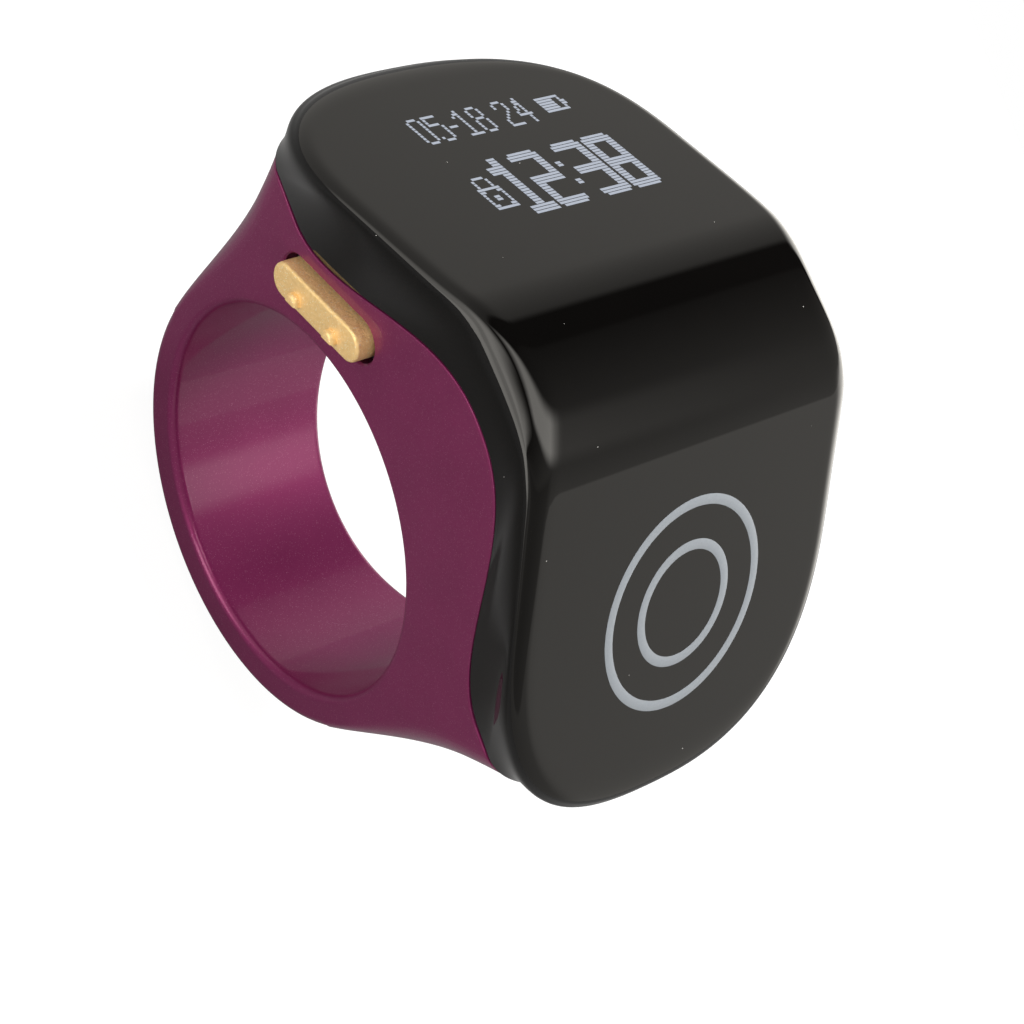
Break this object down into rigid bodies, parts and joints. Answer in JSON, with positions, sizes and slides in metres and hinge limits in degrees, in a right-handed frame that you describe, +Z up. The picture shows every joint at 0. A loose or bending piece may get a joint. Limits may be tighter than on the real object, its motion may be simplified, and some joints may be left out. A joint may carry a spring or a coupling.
{
  "type": "smart counter ring",
  "caption": "Finger ring with a tented black head: a display on one face, a touch mark on the other, and a push button on the side.",
  "frame": {"origin": "centre of the finger bore, halfway between the side faces", "axes": "+X along the bore away from the button side, +Y towards the display end of the head, +Z up through the ridge of the head"},
  "size_m": [0.0224, 0.0367, 0.0352],
  "materials": {
    "pearl_purple": "pearl lacquer",
    "black_gloss": "high gloss",
    "black_rubber": "matte",
    "grey_print": "satin",
    "foam": "soft matte",
    "dark_glass": "polished",
    "amber_film": "satin film",
    "board_green": "solder mask",
    "frame_black": "moulded satin",
    "chip_black": "matte",
    "steel": "satin",
    "foil": "laminated pouch",
    "lead_red": "satin",
    "lead_black": "satin",
    "gold_paint": "fine metallic",
    "contact_gold": "polished"
  },
  "bodies": {
    "ring": {"ring_body": "pearl_purple", "head_cover": "black_gloss", "cover_seal": "black_rubber", "key_mark_outer": "grey_print", "key_mark_inner": "grey_print", "display_adhesive": "foam", "oled_panel": "dark_glass", "display_flex": "amber_film", "touch_board": "board_green", "touch_foam": "foam", "touch_flex": "amber_film", "inner_frame": "frame_black", "main_board": "board_green", "radio_chip": "chip_black", "power_chip": "chip_black", "crystal": "steel", "chip_antenna": "grey_print", "battery_cell": "foil", "battery_tape": "foam", "battery_lead_red": "lead_red", "battery_lead_black": "lead_black", "motor_can": "steel", "motor_cradle": "black_rubber", "button_seal": "black_rubber", "switch_body": "steel", "switch_board": "board_green", "contact_carrier": "black_rubber", "contact_pin_1": "contact_gold", "contact_pin_2": "contact_gold"},
    "button": {"side_button": "gold_paint"},
    "plunger": {"switch_plunger": "chip_black"},
    "rotor": {"motor_shaft": "steel", "motor_weight": "steel"}
  },
  "joints": [
    {"name": "button_press", "type": "slide", "parent": "ring", "child": "button", "axis": [0.9824, 0, 0.1867], "range_m": [0, 0.00025], "stiffness_N_per_m": 2400, "springref_m": -0.0002},
    {"name": "switch_plunger_slide", "type": "slide", "parent": "ring", "child": "plunger", "axis": [0.9824, 0, 0.1867], "range_m": [0, 0.00025]},
    {"name": "motor_spin", "type": "hinge", "parent": "ring", "child": "rotor", "pos_m": [0, 0, 0.019], "axis": [1, 0, 0], "continuous": true}
  ],
  "couplings": [
    {"joint": "switch_plunger_slide", "follows": "button_press", "ratio": 1}
  ]
}
